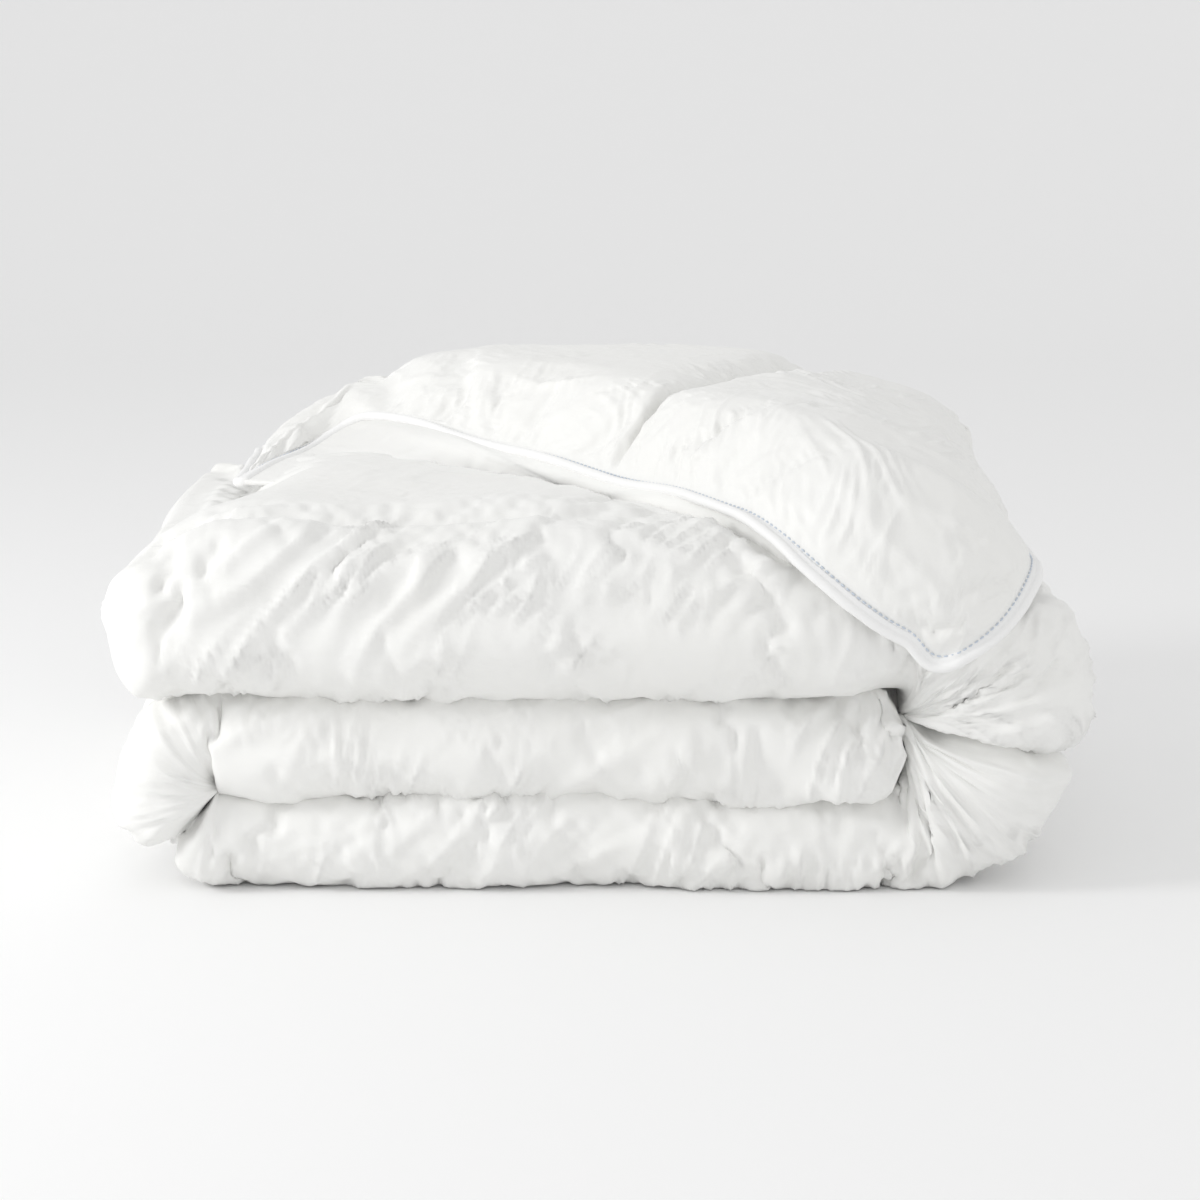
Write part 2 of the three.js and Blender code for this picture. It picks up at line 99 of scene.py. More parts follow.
def bump(centre, width, x):
    return np.exp(-((np.asarray(x, float) - centre) / width) ** 2)


def roundRise(x, full):
    short = 1 - np.clip(np.asarray(x, float) / full, 0, 1)
    return np.sqrt(np.clip(1 - short * short, 0, 1))


# smooth gradient noise on a plane, the same every time
def softNoise(x, y, seed=0):
    x, y = np.broadcast_arrays(np.asarray(x, float), np.asarray(y, float))
    xi, yi = np.floor(x).astype(np.int64), np.floor(y).astype(np.int64)
    xf, yf = x - xi, y - yi

    def corner(dx, dy):
        h = ((xi + dx) * 73856093 + (yi + dy) * 19349663 + seed * 83492791) & 0x7fffffff
        h = ((h ^ (h >> 13)) * 1274126177) & 0x7fffffff
        angle = ((h ^ (h >> 16)) & 0xffff) * (2 * math.pi / 65536)
        return np.cos(angle) * (xf - dx) + np.sin(angle) * (yf - dy)

    u = xf * xf * xf * (xf * (xf * 6 - 15) + 10)
    v = yf * yf * yf * (yf * (yf * 6 - 15) + 10)
    low = corner(0, 0) * (1 - u) + corner(1, 0) * u
    high = corner(0, 1) * (1 - u) + corner(1, 1) * u
    return (low * (1 - v) + high * v) * 1.5


# creases with narrow crests: long along the angle, short across it, bent by a slower noise
def creases(u, v, degrees, longSize, shortSize, seed, sharp=0.1):
    c, s = math.cos(math.radians(degrees)), math.sin(math.radians(degrees))
    bend = softNoise(u / longSize * 0.8, v / longSize * 0.8, seed + 7)
    along = (u * c + v * s) / longSize
    across = (-u * s + v * c) / shortSize + bend * 0.5 * longSize / shortSize * 0.35
    n = softNoise(along, across, seed)
    return np.clip(1.15 - 3.0 * np.sqrt(n * n + sharp * sharp), 0, 1) ** 1.4


def patches(u, v, size, seed, low=-0.15, high=0.35):
    return smooth(low, high, softNoise(u / size, v / size, seed))


# wrinkles of slack cotton over its filling, in metres of height: a few long drawn folds, then
# shorter and sharper ones in patches between smooth stretches
def wrinkled(u, v, seed, amounts, tilt):
    made = 0
    for amount, angle, longSize, shortSize, sharp, spread, low, high, step, patchStep in zip(
            amounts, (*tilt, 100), (0.15, 0.085, 0.05, 0.024), (0.042, 0.017, 0.012, 0.010),
            (0.06, 0.05, 0.05, 0.06), (0.15, 0.10, 0.08, 0.06), (-0.25, 0.0, 0.05, 0.1),
            (0.3, 0.35, 0.4, 0.4), (0, 2, 4, 6), (1, 3, 5, 8)):
        folds = creases(u, v, angle, longSize, shortSize, seed + step, sharp)
        made = made + amount * folds * patches(u, v, spread, seed + patchStep, low, high)
    return made


# mesh helpers
def linked(name, data):
    obj = bpy.data.objects.new(name, data)
    scene.collection.objects.link(obj)
    return obj


def shadedSmooth(mesh):
    mesh.polygons.foreach_set("use_smooth", [True] * len(mesh.polygons))


def meshObject(name, verts, faces):
    mesh = bpy.data.meshes.new(name)
    mesh.from_pydata(verts, [], faces)
    shadedSmooth(mesh)
    return linked(name, mesh)


def vertexArray(mesh):
    co = np.empty(len(mesh.vertices) * 3)
    mesh.vertices.foreach_get("co", co)
    return co.reshape(-1, 3)


def faceOutward(mesh):
    co = vertexArray(mesh)
    mesh.calc_loop_triangles()
    corners = np.empty(len(mesh.loop_triangles) * 3, int)
    mesh.loop_triangles.foreach_get("vertices", corners)
    a, b, c = (co[corners.reshape(-1, 3)[:, k]] for k in range(3))
    if (a * np.cross(b, c)).sum() < 0:
        mesh.flip_normals()


# a closed skin over a grid of points: one ring to a row, and a fan of triangles over each end
def meshFromGrid(name, grid):
    rows, ring = grid.shape[:2]
    number = np.arange(rows * ring).reshape(rows, ring)
    after = np.roll(number, -1, 1)
    quads = np.stack([number[:-1], after[:-1], after[1:], number[1:]], 2).reshape(-1, 4)
    first, last = rows * ring, rows * ring + 1
    verts = np.concatenate([grid.reshape(-1, 3), grid[:1].mean(1), grid[-1:].mean(1)])
    low = np.stack([number[0], np.full(ring, first), after[0]], 1)
    high = np.stack([number[-1], after[-1], np.full(ring, last)], 1)
    corners = np.concatenate([quads.ravel(), low.ravel(), high.ravel()])
    starts = np.concatenate([np.arange(len(quads)) * 4, len(quads) * 4 + np.arange(2 * ring) * 3])
    mesh = bpy.data.meshes.new(name)
    mesh.vertices.add(len(verts))
    mesh.vertices.foreach_set("co", verts.ravel())
    mesh.loops.add(len(corners))
    mesh.loops.foreach_set("vertex_index", corners)
    mesh.polygons.add(len(starts))
    mesh.polygons.foreach_set("loop_start", starts)
    mesh.update(calc_edges=True)
    mesh.validate()
    shadedSmooth(mesh)
    faceOutward(mesh)
    return linked(name, mesh)


def gridNormals(grid, closedRing=True):
    if closedRing:
        across = np.roll(grid, -1, 1) - np.roll(grid, 1, 1)
    else:
        across = np.gradient(grid, axis=1)
    along = np.gradient(grid, axis=0)
    normal = np.cross(across, along)
    length = np.linalg.norm(normal, axis=2, keepdims=True)
    return normal / np.maximum(length, 1e-12)


# a finer grid through the same points, by cubic steps along rows and round the ring
def finer(grid, factor, closedRing=True):
    def axisFiner(data, closed):
        if closed:
            before, after, after2 = np.roll(data, 1, 0), np.roll(data, -1, 0), np.roll(data, -2, 0)
            base = data
        else:
            padded = np.concatenate([2 * data[:1] - data[1:2], data, 2 * data[-1:] - data[-2:-1]])
            before, base, after, after2 = padded[:-3], padded[1:-2], padded[2:-1], padded[3:]
        steps = []
        for t in np.arange(factor) / factor:
            steps.append(base + 0.5 * t * (after - before + t * (2 * before - 5 * base + 4 * after - after2
                         + t * (3 * (base - after) + after2 - before))))
        made = np.stack(steps, 1).reshape(-1, *data.shape[1:])
        return made if closed else np.concatenate([made, data[-1:]])

    rows = axisFiner(grid, False)
    return np.swapaxes(axisFiner(np.swapaxes(rows, 0, 1), closedRing), 0, 1)


def subdivided(obj):
    mod = obj.modifiers.new("subdivision", "SUBSURF")
    mod.levels = 1
    mod.render_levels = 1
    graph = bpy.context.evaluated_depsgraph_get()
    made = bpy.data.meshes.new_from_object(obj.evaluated_get(graph))
    old = obj.data
    obj.modifiers.clear()
    obj.data = made
    bpy.data.meshes.remove(old)
    shadedSmooth(made)


# filling pushes the cloth out while its seams hold: pressure, slack cloth, pinned points
def puffed(name, grid, hold, look):
    obj = meshFromGrid(name + "_trial", grid)
    start = vertexArray(obj.data)
    group = obj.vertex_groups.new(name="held")
    weights = np.concatenate([hold.ravel(), [1, 1]])
    for i in np.nonzero(weights > 0.01)[0]:
        group.add([int(i)], float(weights[i]), "REPLACE")
    mod = obj.modifiers.new("cloth", "CLOTH")
    cloth = mod.settings
    cloth.quality = 3
    cloth.mass = 0.12
    cloth.tension_stiffness = look["stretch"]
    cloth.compression_stiffness = look["stretch"]
    cloth.shear_stiffness = look["stretch"] * 0.4
    cloth.bending_stiffness = look["bend"]
    for kind in ("tension", "compression", "shear"):
        setattr(cloth, kind + "_damping", 8)
    cloth.air_damping = 2
    cloth.use_pressure = True
    cloth.uniform_pressure_force = look["pressure"]
    cloth.shrink_min = look["shrink"]
    cloth.vertex_group_mass = "held"
    cloth.pin_stiffness = 1
    cloth.effector_weights.gravity = 0
    mod.collision_settings.use_collision = False
    mod.collision_settings.use_self_collision = False
    mod.point_cache.frame_start = 1
    mod.point_cache.frame_end = look["frames"]
    for f in range(1, look["frames"] + 1):
        scene.frame_set(f)
    graph = bpy.context.evaluated_depsgraph_get()
    shift = np.nan_to_num(vertexArray(obj.evaluated_get(graph).data) - start)
    scene.frame_set(1)
    mesh = obj.data
    bpy.data.objects.remove(obj)
    bpy.data.meshes.remove(mesh)
    size = np.linalg.norm(shift, axis=1, keepdims=True)
    shift *= np.where(size > look["cap"], look["cap"] / np.maximum(size, 1e-9), 1)
    print("  puffed", name, len(start), "points, mean move", round(float(size.mean()) * 1000, 1), "mm")
    return grid + shift[:grid.shape[0] * grid.shape[1]].reshape(grid.shape)


# tube through stations: centre, two side directions, and an outline of (a, b) points
def tubeGrid(centres, outs, ups, outline):
    return (centres[:, None, :] + outline[None, :, 0, None] * outs[:, None, :]
            + outline[None, :, 1, None] * ups[:, None, :])


def unit(v):
    return v / np.maximum(np.linalg.norm(v, axis=-1, keepdims=True), 1e-12)


# shader maths as expressions
class Socket:
    def __init__(self, material, socket):
        self.material = material
        self.socket = socket

    def join(self, operation, other):
        return self.material.add("ShaderNodeMath", {"operation": operation}, {0: self, 1: other})[0]

    def __add__(self, other):
        return self.join("ADD", other)

    def __mul__(self, other):
        return self.join("MULTIPLY", other)

    __radd__ = __add__
    __rmul__ = __mul__


class Outputs:
    def __init__(self, material, node):
        self.material = material
        self.node = node

    def __getitem__(self, key):
        return Socket(self.material, self.node.outputs[key])


class Finish:
    def __init__(self, name, color, roughness, **shader):
        self.data = bpy.data.materials.new(name)
        self.data.use_nodes = True
        self.data.diffuse_color = (*color, 1)
        self.tree = self.data.node_tree
        self.tree.nodes.clear()
        self.shader = self.tree.nodes.new("ShaderNodeBsdfPrincipled")
        output = self.tree.nodes.new("ShaderNodeOutputMaterial")
        self.tree.links.new(self.shader.outputs[0], output.inputs[0])
        self.put(self.shader, "Base Color", (*color, 1))
        self.put(self.shader, "Roughness", roughness)
        for key, value in shader.items():
            self.put(self.shader, key, value)
        self.position = self.add("ShaderNodeTexCoord", {}, {})["Object"]

    # any node: its type, its settings, and values or links for its sockets
    def add(self, kind, settings, values):
        node = self.tree.nodes.new(kind)
        for key, value in settings.items():
            setattr(node, key, value)
        for key, value in values.items():
            self.put(node, key, value)
        return Outputs(self, node)

    def put(self, node, key, value):
        socket = node.inputs[key]
        if isinstance(value, Socket):
            self.tree.links.new(value.socket, socket)
        else:
            socket.default_value = value


# close-woven cotton: threads, small crumples, faint shade change
def cottonFinish(name, look):
    f = Finish(name, look["color"], look["roughness"], **{
        "Sheen Weight": look["sheen"], "Sheen Roughness": 0.45, "Specular IOR Level": 0.35})
    threads = {"Vector": f.position, "Scale": look["threads"], "Distortion": 1.2, "Detail": 1.0}
    warp = f.add("ShaderNodeTexWave", {"bands_direction": "X"}, threads)["Fac"]
    weft = f.add("ShaderNodeTexWave", {"bands_direction": "Z"}, threads)["Fac"]
    weave = warp * weft
    crumple = f.add("ShaderNodeTexNoise", {"noise_type": "RIDGED_MULTIFRACTAL"}, {
        "Vector": f.position, "Scale": look["crumples"], "Detail": 3.0, "Roughness": 0.45,
        "Distortion": 0.8})["Fac"]
    cloud = f.add("ShaderNodeTexNoise", {}, {
        "Vector": f.position, "Scale": 9.0, "Detail": 2.0})["Fac"]
    tint = f.add("ShaderNodeMix", {"data_type": "RGBA"}, {
        "Factor": cloud, "A": (*look["color"], 1), "B": (*look["shade"], 1)})["Result"]
    f.put(f.shader, "Base Color", tint)
    f.put(f.shader, "Roughness", cloud * 0.12 + (look["roughness"] - 0.06))
    fine = f.add("ShaderNodeBump", {}, {
        "Height": weave, "Distance": 0.00012, "Strength": look["weaveDepth"]})["Normal"]
    soft = f.add("ShaderNodeBump", {}, {
        "Height": crumple, "Distance": look["crumpleDepth"], "Strength": 0.5, "Normal": fine})["Normal"]
    f.put(f.shader, "Normal", soft)
    return f.data


def threadFinish(name, color):
    f = Finish(name, color, 0.5, **{"Sheen Weight": 0.2, "Specular IOR Level": 0.4})
    twist = f.add("ShaderNodeTexWave", {"bands_direction": "DIAGONAL"}, {
        "Vector": f.position, "Scale": 500.0, "Distortion": 0.5})["Fac"]
    f.put(f.shader, "Roughness", twist * 0.2 + 0.42)
    f.put(f.shader, "Normal", f.add("ShaderNodeBump", {}, {
        "Height": twist, "Distance": 0.0001, "Strength": 0.5})["Normal"])
    return f.data


finishes = {
    "cotton": cottonFinish("white_cotton", {
        "color": (0.9, 0.9, 0.885), "shade": (0.87, 0.868, 0.845), "roughness": 0.55, "sheen": 0.15,
        "threads": 900.0, "crumples": 30.0, "weaveDepth": 0.25, "crumpleDepth": 0.004}),
    "piping": cottonFinish("piping_cotton", {
        "color": (0.93, 0.93, 0.925), "shade": (0.9, 0.9, 0.895), "roughness": 0.5, "sheen": 0.15,
        "threads": 900.0, "crumples": 90.0, "weaveDepth": 0.3, "crumpleDepth": 0.0006}),
    "edgeThread": threadFinish("edge_thread", (0.6, 0.66, 0.74)),
    # painted shade: the blue-grey colours of this tape copy the leaf's piping in shadow, with its bluish
    # tint from the sky
    "label": cottonFinish("label_tape", {
        "color": (0.62, 0.61, 0.74), "shade": (0.58, 0.57, 0.7), "roughness": 0.6, "sheen": 0.1,
        "threads": 600.0, "crumples": 60.0, "weaveDepth": 0.5, "crumpleDepth": 0.0004}),
}
print("finishes made")


def dressed(obj, finish):
    obj.data.materials.append(finishes[finish])
    return obj


# the strip's path in the XZ plane: 0-1 middle, 1-2 left bend, 2-3 bottom, 3-4 right bend, 4-5 upper
def stripAt(place):
    p = np.asarray(place, float)
    x = np.interp(p, [0, 1], [noseX, leftBendX])
    z = np.full_like(p, middleZ)
    nx = np.zeros_like(p)
    nz = np.ones_like(p)
    half = np.interp(smooth(3, 4, p), [0, 1], [lowerThick / 2, upperThick / 2])
    for first, centreX, centreZ, radius, turn in (
            (1, leftBendX, (middleZ + bottomZ) / 2, leftBendR, math.pi / 2),
            (3, rightBendX, (upperZ + bottomZ) / 2, rightBendR, -math.pi / 2)):
        on = (p >= first) & (p <= first + 1)
        angle = turn + math.pi * (p - first)
        x = np.where(on, centreX + radius * np.cos(angle), x)
        z = np.where(on, centreZ + radius * np.sin(angle), z)
        nx = np.where(on, np.cos(angle), nx)
        nz = np.where(on, np.sin(angle), nz)
    on = (p > 2) & (p < 3)
    x = np.where(on, np.interp(p, [2, 3], [leftBendX, rightBendX]), x)
    z = np.where(on, bottomZ, z)
    nz = np.where(on, -1, nz)
    on = p > 4
    x = np.where(on, np.interp(p, [4, 5], [rightBendX, upperEndX]), x)
    z = np.where(on, upperZ, z)
    nx = np.where(on, 0, nx)
    nz = np.where(on, 1, nz)
    return x, z, nx, nz, half


# places along the path, about one step apart on the outside of the bends
def placesAlong(first, last, step):
    probe = np.linspace(first, last, 4000)
    x, z, nx, nz, half = stripAt(probe)
    ox, oz = x + nx * half, z + nz * half
    length = np.concatenate([[0], np.cumsum(np.hypot(np.diff(ox), np.diff(oz)))])
    wanted = np.linspace(0, length[-1], int(round(length[-1] / step)) + 1)
    return np.interp(wanted, length, probe), wanted


# inside the right bend the leaves are pressed together until they meet on its centre
def innerHalf(place, half):
    full = rightBendR - 0.003
    return half + (full - half) * smooth(2.98, 3.22, place) * (1 - smooth(3.86, 4.1, place))


# closed section of a strip: rolled front, flat top, folded leaves at the back, flat underside.
# It starts in a crease at the back, where nobody sees its first and last points meet.
def sectionRing(outHalf, inHalf, front, back, bulges, look, step):
    nominal = lowerThick / 2
    leaves = look["leaves"]
    frontCount = int(math.pi * nominal / step) + 2
    flatCount = int((backY - frontY - 2 * nominal) / step)
    lobeCount = max(5, int(math.pi * nominal / leaves / step))
    half = outHalf[:, None]
    front, back = front[:, None], back[:, None]
    lobe = half / leaves
    y0, y1 = front + half, back - lobe
    f = np.linspace(0, 1, flatCount, endpoint=False)[None, :]
    a = np.linspace(-math.pi / 2, math.pi / 2, frontCount, endpoint=False)[None, :]
    b = np.linspace(math.pi / 2, -math.pi / 2, lobeCount, endpoint=False)[None, :]
    # the rolled front bulges out or is pressed in, above and below its middle
    outBulge, inBulge = bulges
    reach = half + np.where(a > 0, outBulge[:, None], inBulge[:, None]) * np.sin(2 * np.abs(a)) ** 1.3
    lobes = []
    for k in range(leaves):
        w = half - lobe * (2 * k + 1) + lobe * np.sin(b)
        lobes.append((y1 + lobe * np.cos(b), w))
    parts = lobes[1:] + [(y1 + (y0 - y1) * f, -half + 0 * f),
                         (y0 - reach * np.cos(a), reach * np.sin(a)),
                         (y0 + (y1 - y0) * f, half + 0 * f)] + lobes[:1]
    y, w = (np.concatenate([part[k] for part in parts], 1) for k in (0, 1))
    w = np.where(w < 0, w * inHalf[:, None] / half, w)
    frontMost = lobeCount * (leaves - 1) + flatCount + frontCount // 2
    return y, w, frontMost


def stripGrid(look, step):
    places, lengths = placesAlong(look["first"], look["last"], step)
    x, z, nx, nz, half = stripAt(places)
    fromEnd = lengths[-1] - lengths

    def rise(tip, start, end):
        return np.minimum(roundRise(lengths + tip, look[start]), roundRise(fromEnd + tip, look[end]))

    outward = rise(endTip, "startRound", "endRound")
    inward = rise(endTip, "startRound", "endUnder")
    inset = (1 - rise(0.001, "startRound", "endUnder")) * look["cornerInset"]
    front = frontY + look["frontInset"](places) + inset
    back = backY - look["backInset"] - inset
    bulges = [amount * np.minimum(inward, outward) for amount in look["bulges"](places)]
    halves = (half * outward, innerHalf(places, half) * inward)
    y, w, frontMost = sectionRing(*halves, front, back, bulges, look, step)
    grid = np.stack([x[:, None] + nx[:, None] * w, y, z[:, None] + nz[:, None] * w], 2)
    place = np.broadcast_to(places[:, None], y.shape)
    return grid, place, w, frontMost


# the same description of every point on the finer grid
def gridFields(look, place, w, frontMost, factor):
    fine = finer(np.stack([place, w], 2), factor)
    place, w = fine[..., 0], fine[..., 1]
    return np.clip(place, look["first"], look["last"]), w, frontMost * factor


# lengths over the cloth, along the strip, and round its section from the middle of its front
def surfaceLengths(grid, place, frontMost):
    ring = np.linalg.norm(np.diff(grid[grid.shape[0] // 2], axis=0), axis=1)
    around = np.concatenate([[0], np.cumsum(ring)])
    t = around - around[frontMost]
    probe = np.linspace(place[:, 0].min(), place[:, 0].max(), 3000)
    x, z, nx, nz, half = stripAt(probe)
    length = np.concatenate([[0], np.cumsum(np.hypot(np.diff(x + nx * half), np.diff(z + nz * half)))])
    u = np.interp(place[:, 0], probe, length)
    return np.broadcast_to(u[:, None], grid.shape[:2]), np.broadcast_to(t[None, :], grid.shape[:2])


# normals of a closed grid, turned away from the middle of each ring
def outwardNormals(grid):
    normal = gridNormals(grid)
    rowCentre = grid.mean(axis=1, keepdims=True)
    return normal if (normal * (grid - rowCentre)).sum() > 0 else -normal


# a strip: broad shape, puffed out by its filling, then wrinkled on a finer grid
def stripPiece(name, look, hold):
    grid, place, w, frontMost = stripGrid(look, look["step"])
    u, t = surfaceLengths(grid, place, frontMost)
    grid = grid + outwardNormals(grid) * look["broad"](place, u, t, grid[..., 1], w)[..., None]
    grid = puffed(name, grid, hold(place, t, grid[..., 1], w), look["puff"])
    factor = look["refine"]
    place, w, frontMost = gridFields(look, place, w, frontMost, factor)
    grid = finer(grid, factor)
    u, t = surfaceLengths(grid, place, frontMost)
    grid = grid + outwardNormals(grid) * look["fine"](place, u, t, grid[..., 1], w)[..., None]
    lowest = 0.0005 * (2 + softNoise(u / 0.02, t / 0.02, 5))     # it rests on the floor
    grid[..., 2] = np.maximum(grid[..., 2], lowest)
    obj = meshFromGrid(name, grid)
    print(name, "made of", len(obj.data.vertices), "points")
    return dressed(obj, "cotton")


quarterRound = math.pi / 2 * lowerThick / 2
upperQuarter = math.pi / 2 * upperThick / 2


# lower strips
lowerLook = {
    "first": 0.0, "last": 3.46, "step": 0.009, "refine": 3, "startRound": 0.034, "endRound": 0.03,
    "endUnder": 0.03, "cornerInset": 0.02, "leaves": 3, "backInset": 0.012,
    "wrinkles": (0.0044, 0.0038, 0.0028, 0.0012), "tilt": (128, 112, 96), "uneven": 0.006,
    "dart": 0.024, "dartAt": 1.77, "gathers": 0.0034, "leftFan": 0.003, "rightFan": 0.0042,
    "frontInset": lambda p: 0.009 * (1 - smooth(0.9, 1.6, p)) + 0.004 * smooth(3.0, 3.3, p),
    "bulges": lambda p: (-0.005 * (1 - smooth(0.8, 1.1, p)),
                         0.020 * (1 - smooth(0.92, 1.12, p))
                         - 0.004 * smooth(1.9, 2.1, p) * (1 - smooth(2.9, 3.1, p))),
    "puff": {"pressure": 5.0, "shrink": -0.025, "stretch": 12.0, "bend": 0.4, "frames": 14, "cap": 0.008},
}


# broad shape: uneven filling, and a dart where the left bend is folded in
def lowerBroad(place, u, t, y, w):
    frontness = 1 - smooth(frontY + 0.03, frontY + 0.12, y)
    dart = lowerLook["dart"] * bump(lowerLook["dartAt"], 0.05, place) * frontness
    return lowerLook["uneven"] * softNoise(u / 0.15, t / 0.15, 3) - dart


# wrinkles, deepest at the front where they are seen
def lowerFine(place, u, t, y, w):
    look = lowerLook
    seen = 0.4 + 0.6 * (1 - smooth(frontY + 0.08, frontY + 0.2, y))
    made = wrinkled(u, t, 11, look["wrinkles"], look["tilt"]) * seen
    # short gathers where one strip rests on another
    contact = np.exp(-((np.abs(t) - quarterRound * 0.9) / 0.022) ** 2)
    gathers = creases(u, t, 92, 0.07, 0.017, 51) * patches(u, t, 0.06, 52) * contact
    made = made + look["gathers"] * gathers
    # folds that fan out round both bends
    frontness = 1 - smooth(frontY + 0.05, frontY + 0.14, y)
    leftBend = smooth(0.95, 1.2, place) * (1 - smooth(1.85, 2.1, place))
    rightBend = smooth(2.75, 3.1, place)
    fan = creases(u, t, 90, 0.11, 0.024, 61)
    toPole = smooth(0.0, 0.07, np.where(place < 2.5, leftBendR, rightBendR) + w)
    made = made + (look["leftFan"] * leftBend + look["rightFan"] * rightBend) * fan * frontness
    bends = np.maximum(leftBend, rightBend)
    return made * (1 - bends * (1 - toPole))


lowerLook["broad"] = lowerBroad
lowerLook["fine"] = lowerFine

lowerStarts = ("base_", "nose_", "middle_", "bottom_", "right_bend_")
lowerNodes = [n for n in frame["nodes"] if n.startswith(lowerStarts)]
upperNodes = [n for n in frame["nodes"] if n.startswith("upper_")]


# the underside, the hidden inner leaves and what stands on the floor don't puff out
def lowerHold(place, t, y, w):
    deep = (y > frontY + 0.06) & (y < backY - 0.05)
    under = ((w < 0) | (place < 1)) & deep
    floor = (place > 2) & (place < 3) & (w > 0) & (y > frontY + 0.04)
    return np.where(under | floor, 1.0, 0.0)


def makeLowerStrips():
    obj = stripPiece("duvet_lower_strips", lowerLook, lowerHold)
    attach(obj, "base")
    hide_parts(*lowerNodes)


# loose leaf: its front edge runs from left to right through points given as X along the upper
# strip and reach forward from the back fold
leafLook = {
    "edge": [(-0.304, 0.215), (-0.276, 0.145), (-0.222, 0.075), (-0.116, 0.15), (-0.02, 0.245),
             (0.044, 0.335), (0.096, 0.425), (0.168, 0.515), (0.255, 0.572), (0.346, 0.602)],
    "backLeft": -0.31, "backRight": 0.352, "seamFront": 0.008, "seamBack": 0.205,
    "rest": 0.005, "edgeThick": 0.004, "band": 0.009, "riseOver": 0.11, "groove": 0.4,
    "grooveWidth": 0.006, "loft": [(-0.31, 0.026), (-0.22, 0.046), (-0.1, 0.077), (0.05, 0.082),
                                   (0.16, 0.071), (0.26, 0.042), (0.37, 0.03)],
    "lift": 0.019, "crownZ": 0.358, "corner": 0.09, "step": 0.0075, "refine": 3, "backTurn": 2.2,
    "backRadius": 0.034, "backOut": 0.044, "back": -0.2, "length": 0.7,
    "wrinkles": (0.0026, 0.0024, 0.0018, 0.0007), "tilt": (36, 60, 112), "uneven": 0.004,
    "gathers": 0.0026, "stitchDip": 0.0035, "crownSoft": 0.02, "crownRise": 0.014,
    "puff": {"pressure": 4.0, "shrink": -0.03, "stretch": 12.0, "bend": 0.3, "frames": 14, "cap": 0.007},
}


def smoothCurve(points, count):
    points = np.asarray(points, float)
    ends = np.concatenate([2 * points[:1] - points[1:2], points, 2 * points[-1:] - points[-2:-1]])
    made = []
    for i in range(1, len(ends) - 2):
        a, b, c, d = ends[i - 1:i + 3]
        for t in np.arange(count) / count:
            made.append(b + 0.5 * t * (c - a + t * (2 * a - 5 * b + 4 * c - d + t * (3 * (b - c) + d - a))))
    return np.array(made + [points[-1]])


edgeCurve = smoothCurve(leafLook["edge"], 30)
edgeLength = np.concatenate([[0], np.cumsum(np.linalg.norm(np.diff(edgeCurve, axis=0), axis=1))])
edgeShare = edgeLength / edgeLength[-1]
seamShareFront = float(np.interp(leafLook["seamFront"], edgeCurve[:, 0], edgeShare))
backWidth = leafLook["backRight"] - leafLook["backLeft"]
seamShareBack = (leafLook["seamBack"] - leafLook["backLeft"]) / backWidth
leafWidth = float(edgeLength[-1])
cornerAcross = leafLook["corner"] / leafWidth
cornerAlong = leafLook["corner"] / leafLook["edge"][-1][1]


# how far the upper strip's left end has sunk below its top, most of all towards the back
def backSink(x, y):
    return upperLook["backSink"] * (1 - smooth(-0.34, -0.23, x)) * smooth(frontY + 0.1, frontY + 0.28, y)


# that, and the rounded left end
def leftSink(x, y):
    d = np.asarray(x, float) - upperEndX
    return upperThick / 2 * (1 - roundRise(d + endTip, upperLook["endRound"])) + backSink(x, y)


# a point over the upper strip: x along it, reach forward from the back fold, height above it
def overUpper(x, reach, height):
    beyond = np.maximum(0, x - rightBendX)
    outerR = rightBendR + upperThick / 2
    place = 4 - beyond / outerR / math.pi
    px, pz, nx, nz, half = stripAt(place)
    px = np.where(beyond > 0, px, x)
    pz = np.where(beyond > 0, pz, upperZ)
    nx = np.where(beyond > 0, nx, 0)
    nz = np.where(beyond > 0, nz, 1)
    half = np.where(beyond > 0, half, upperThick / 2)
    rollY = frontY + half
    flat = foldAxis[1] - rollY
    radius = half + height
    quarter = math.pi / 2 * (half + leafLook["rest"])
    angle = np.clip((reach - flat) / quarter, 0, 1) * math.pi / 2
    y = np.where(reach > flat, rollY - radius * np.sin(angle), foldAxis[1] - reach)
    w = np.where(reach > flat, radius * np.cos(angle) - np.maximum(0, reach - flat - quarter), radius)
    # behind the fold axis the leaf turns down round it
    turn = np.clip(-reach / leafLook["backRadius"], 0, None)
    r = leafLook["backRadius"] + height - leafLook["backOut"]
    behind = reach < 0
    y = np.where(behind, foldAxis[1] + r * np.sin(turn), y)
    w = np.where(behind, half + leafLook["backOut"] - leafLook["backRadius"] + r * np.cos(turn), w)
    w = w - leftSink(x, y)
    return np.stack([px + nx * w, y + 0 * px, pz + nz * w], -1)


# the leaf's front right corner is round: shares beyond its arc are pulled in
def roundedCorner(a, b):
    ca, cb = cornerAcross, cornerAlong
    s = np.maximum(0, a - (1 - ca)) / ca
    t = np.maximum(0, b - (1 - cb)) / cb
    both = (s > 0) & (t > 0)
    pull = np.where(both, np.maximum(s, t) / np.maximum(np.hypot(s, t), 1e-9), 1)
    return np.where(both, 1 - ca + s * pull * ca, a), np.where(both, 1 - cb + t * pull * cb, b)


